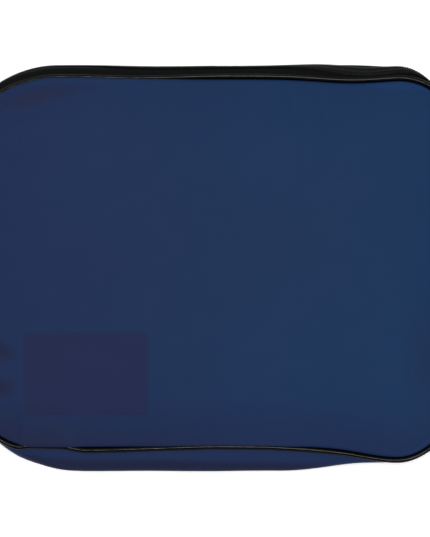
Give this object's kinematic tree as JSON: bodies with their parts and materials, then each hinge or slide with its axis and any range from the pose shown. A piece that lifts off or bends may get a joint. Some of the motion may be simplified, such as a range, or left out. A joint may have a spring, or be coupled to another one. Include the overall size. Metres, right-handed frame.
{
  "type": "cash deposit bag",
  "caption": "Soft flat pouch for carrying takings to a bank, with rounded corners, corded piping, a zip round three sides and a fold-open front.",
  "frame": {"origin": "middle of the flat underside of the back panel, on the surface the bag lies on", "axes": "+Z out of the front panel, +Y towards the zipped top edge, +X to the right seen from the front; the bag lies on its back"},
  "size_m": [0.3548, 0.2718, 0.031],
  "materials": {
    "navy_coated_nylon": "smooth matte coated nylon",
    "navy_label_vinyl": "smooth matte vinyl",
    "black_piping_vinyl": "glossy vinyl over a cord",
    "piping_cord": "twisted filler cord",
    "black_zip_tape": "woven polyester tape",
    "black_nylon_coil": "moulded nylon coil",
    "black_painted_metal": "satin black paint on die-cast metal"
  },
  "bodies": {
    "back_half": {"back_panel": "navy_coated_nylon", "back_piping_cover": "black_piping_vinyl", "back_piping_cord": "piping_cord", "back_seam_binding": "black_zip_tape", "back_zip_tape": "black_zip_tape", "back_zip_coil": "black_nylon_coil", "bottom_gusset": "navy_coated_nylon", "left_zip_end_stop": "black_painted_metal", "right_zip_end_stop": "black_painted_metal"},
    "front_half": {"front_panel": "navy_coated_nylon", "front_piping_cover": "black_piping_vinyl", "front_piping_cord": "piping_cord", "front_seam_binding": "black_zip_tape", "front_zip_tape": "black_zip_tape", "front_zip_coil": "black_nylon_coil", "label_patch": "navy_label_vinyl"},
    "upper_slider": {"upper_slider_body": "black_painted_metal", "upper_slider_bail": "black_painted_metal"},
    "lower_slider": {"lower_slider_body": "black_painted_metal", "lower_slider_bail": "black_painted_metal"},
    "upper_pull": {"upper_pull_tab": "black_painted_metal"},
    "lower_pull": {"lower_pull_tab": "black_painted_metal"}
  },
  "joints": [
    {"name": "front_fold", "type": "hinge", "parent": "back_half", "child": "front_half", "pos_m": [0, -0.1352, 0.013], "axis": [1, 0, 0], "range_deg": [0, 174]},
    {"name": "upper_slider_travel", "type": "slide", "parent": "back_half", "child": "upper_slider", "axis": [0, 1, 0], "range_m": [0, 0.049]},
    {"name": "lower_slider_travel", "type": "slide", "parent": "back_half", "child": "lower_slider", "axis": [0, -1, 0], "range_m": [0, 0.049]},
    {"name": "upper_pull_swing", "type": "hinge", "parent": "upper_slider", "child": "upper_pull", "pos_m": [0.1776, 0.0098, 0.013], "axis": [0, 0, -1], "range_deg": [0, 100]},
    {"name": "lower_pull_swing", "type": "hinge", "parent": "lower_slider", "child": "lower_pull", "pos_m": [0.1776, -0.0038, 0.013], "axis": [0, 0, 1], "range_deg": [0, 100]}
  ]
}
